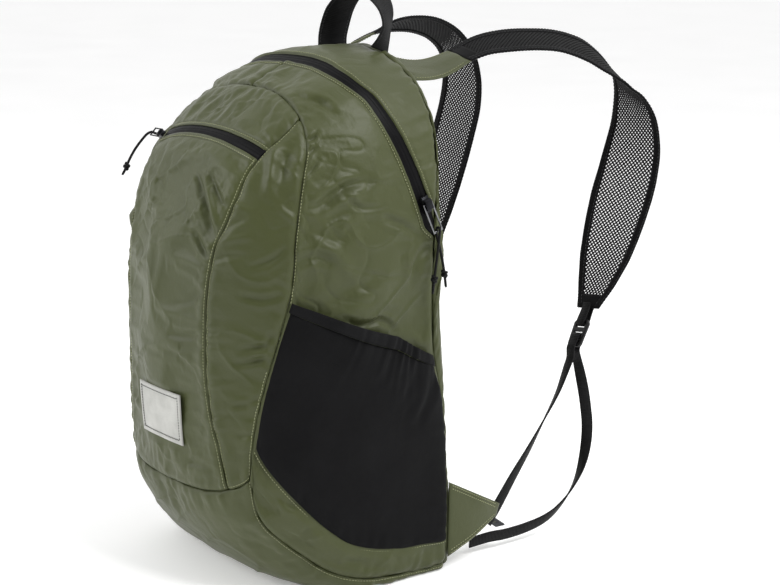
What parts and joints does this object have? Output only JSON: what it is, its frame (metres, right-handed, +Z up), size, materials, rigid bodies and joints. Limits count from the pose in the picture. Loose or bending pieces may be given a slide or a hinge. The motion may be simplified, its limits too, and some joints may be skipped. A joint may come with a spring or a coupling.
{
  "type": "daypack",
  "caption": "Small rounded rucksack of light cloth with stretch side pockets, a front zip pocket, open mesh shoulder straps and a webbing haul loop, its straps held in a worn curve.",
  "frame": {"origin": "on the flat base, under the middle of the body", "axes": "+Z up, -Y toward the front with the label, +Y toward the back panel and straps, +X toward the wearer's right side pocket"},
  "size_m": [0.2813, 0.4521, 0.4806],
  "materials": {
    "olive_cloth": "fine ripstop with a slight sheen",
    "zip_tape": "smooth coated",
    "black_elastic": "ribbed matt",
    "black_stretch": "matt knitted",
    "label_cloth": "woven",
    "strap_binding": "woven edge tape",
    "strap_mesh": "open knitted mesh",
    "black_webbing": "woven webbing",
    "buckle_plastic": "moulded",
    "slider_metal": "black lacquer",
    "pull_cord": "braided"
  },
  "bodies": {
    "root": {"side_panel_right": "olive_cloth", "side_panel_left": "olive_cloth", "front_gusset_right": "olive_cloth", "front_gusset_left": "olive_cloth", "front_top_panel": "olive_cloth", "front_pocket_panel": "olive_cloth", "front_zip_band": "zip_tape", "rear_yoke": "olive_cloth", "main_zip_band": "zip_tape", "bottom_panel": "olive_cloth", "back_panel": "olive_cloth", "pocket_hem_right": "black_elastic", "pocket_hem_left": "black_elastic", "side_pocket_right": "black_stretch", "side_pocket_left": "black_stretch", "label_patch": "label_cloth", "strap_binding_right": "strap_binding", "strap_binding_left": "strap_binding", "strap_mesh_right": "strap_mesh", "strap_mesh_left": "strap_mesh", "upper_wing_right": "olive_cloth", "upper_wing_left": "olive_cloth", "lower_wing_right": "olive_cloth", "lower_wing_left": "olive_cloth", "webbing_end_right": "black_webbing", "webbing_end_left": "black_webbing", "strap_end_web_right": "black_webbing", "strap_end_web_left": "black_webbing", "buckle_right": "buckle_plastic", "buckle_left": "buckle_plastic", "adjuster_webbing_right": "black_webbing", "adjuster_webbing_left": "black_webbing", "haul_loop": "black_webbing", "main_zip_slider": "slider_metal", "main_zip_bail": "slider_metal", "main_zip_pull_cord": "pull_cord", "front_zip_slider": "slider_metal", "front_zip_bail": "slider_metal", "front_zip_pull_cord": "pull_cord"}
  },
  "joints": []
}
